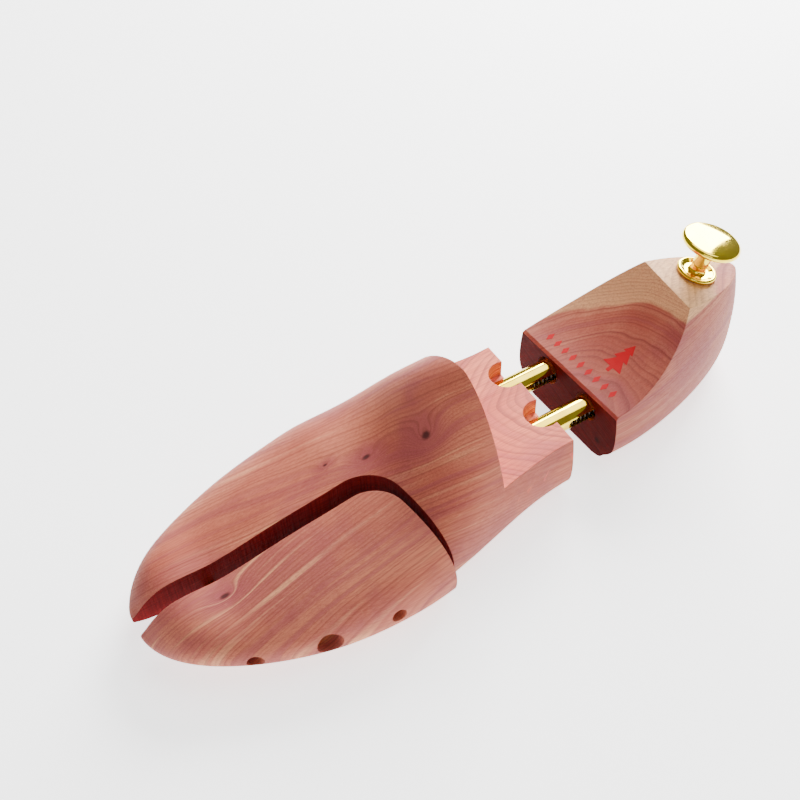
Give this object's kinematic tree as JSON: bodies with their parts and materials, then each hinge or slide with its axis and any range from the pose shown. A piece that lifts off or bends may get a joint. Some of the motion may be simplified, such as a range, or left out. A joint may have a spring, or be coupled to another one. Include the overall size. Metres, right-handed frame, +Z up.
{
  "type": "shoe tree",
  "caption": "Left-foot cedar shoe tree with a split, sprung toe, an instep last with a notched neck, a sliding heel block on brass tubes and a turned brass knob.",
  "frame": {"origin": "the middle of the tree's overall box, on the surface it stands on, with the springs relaxed", "axes": "+Y runs from the toe to the heel, +X points to the outer (lateral) side of a left foot, +Z is up"},
  "size_m": [0.094, 0.2832, 0.0706],
  "materials": {
    "cedar": "sanded, unvarnished aromatic cedar",
    "dowel": "sanded end grain",
    "brass": "polished plating",
    "steel": "drawn",
    "spring_steel": "drawn wire"
  },
  "bodies": {
    "front": {"main_block": "cedar", "tube_medial": "brass", "tube_lateral": "brass", "neck_pin": "steel", "guide_pin_front": "brass", "guide_pin_rear": "brass", "tube_spring_medial": "spring_steel", "tube_spring_lateral": "spring_steel", "wing_spring": "spring_steel"},
    "wing": {"toe_wing": "cedar", "wing_spring_plug": "dowel"},
    "heel": {"heel_block": "cedar", "heel_pin": "steel", "knob": "brass", "knob_collar": "brass", "knob_stud": "steel"}
  },
  "joints": [
    {"name": "heel_slide", "type": "slide", "parent": "front", "child": "heel", "axis": [0, -1, 0], "range_m": [0, 0.0185], "stiffness_N_per_m": 1000, "springref_m": -0.01, "deforming": ["tube_spring_medial", "tube_spring_lateral"]},
    {"name": "wing_slide", "type": "slide", "parent": "front", "child": "wing", "axis": [-1, 0, 0], "range_m": [0, 0.005], "stiffness_N_per_m": 1500, "springref_m": -0.004, "deforming": ["wing_spring"]}
  ]
}
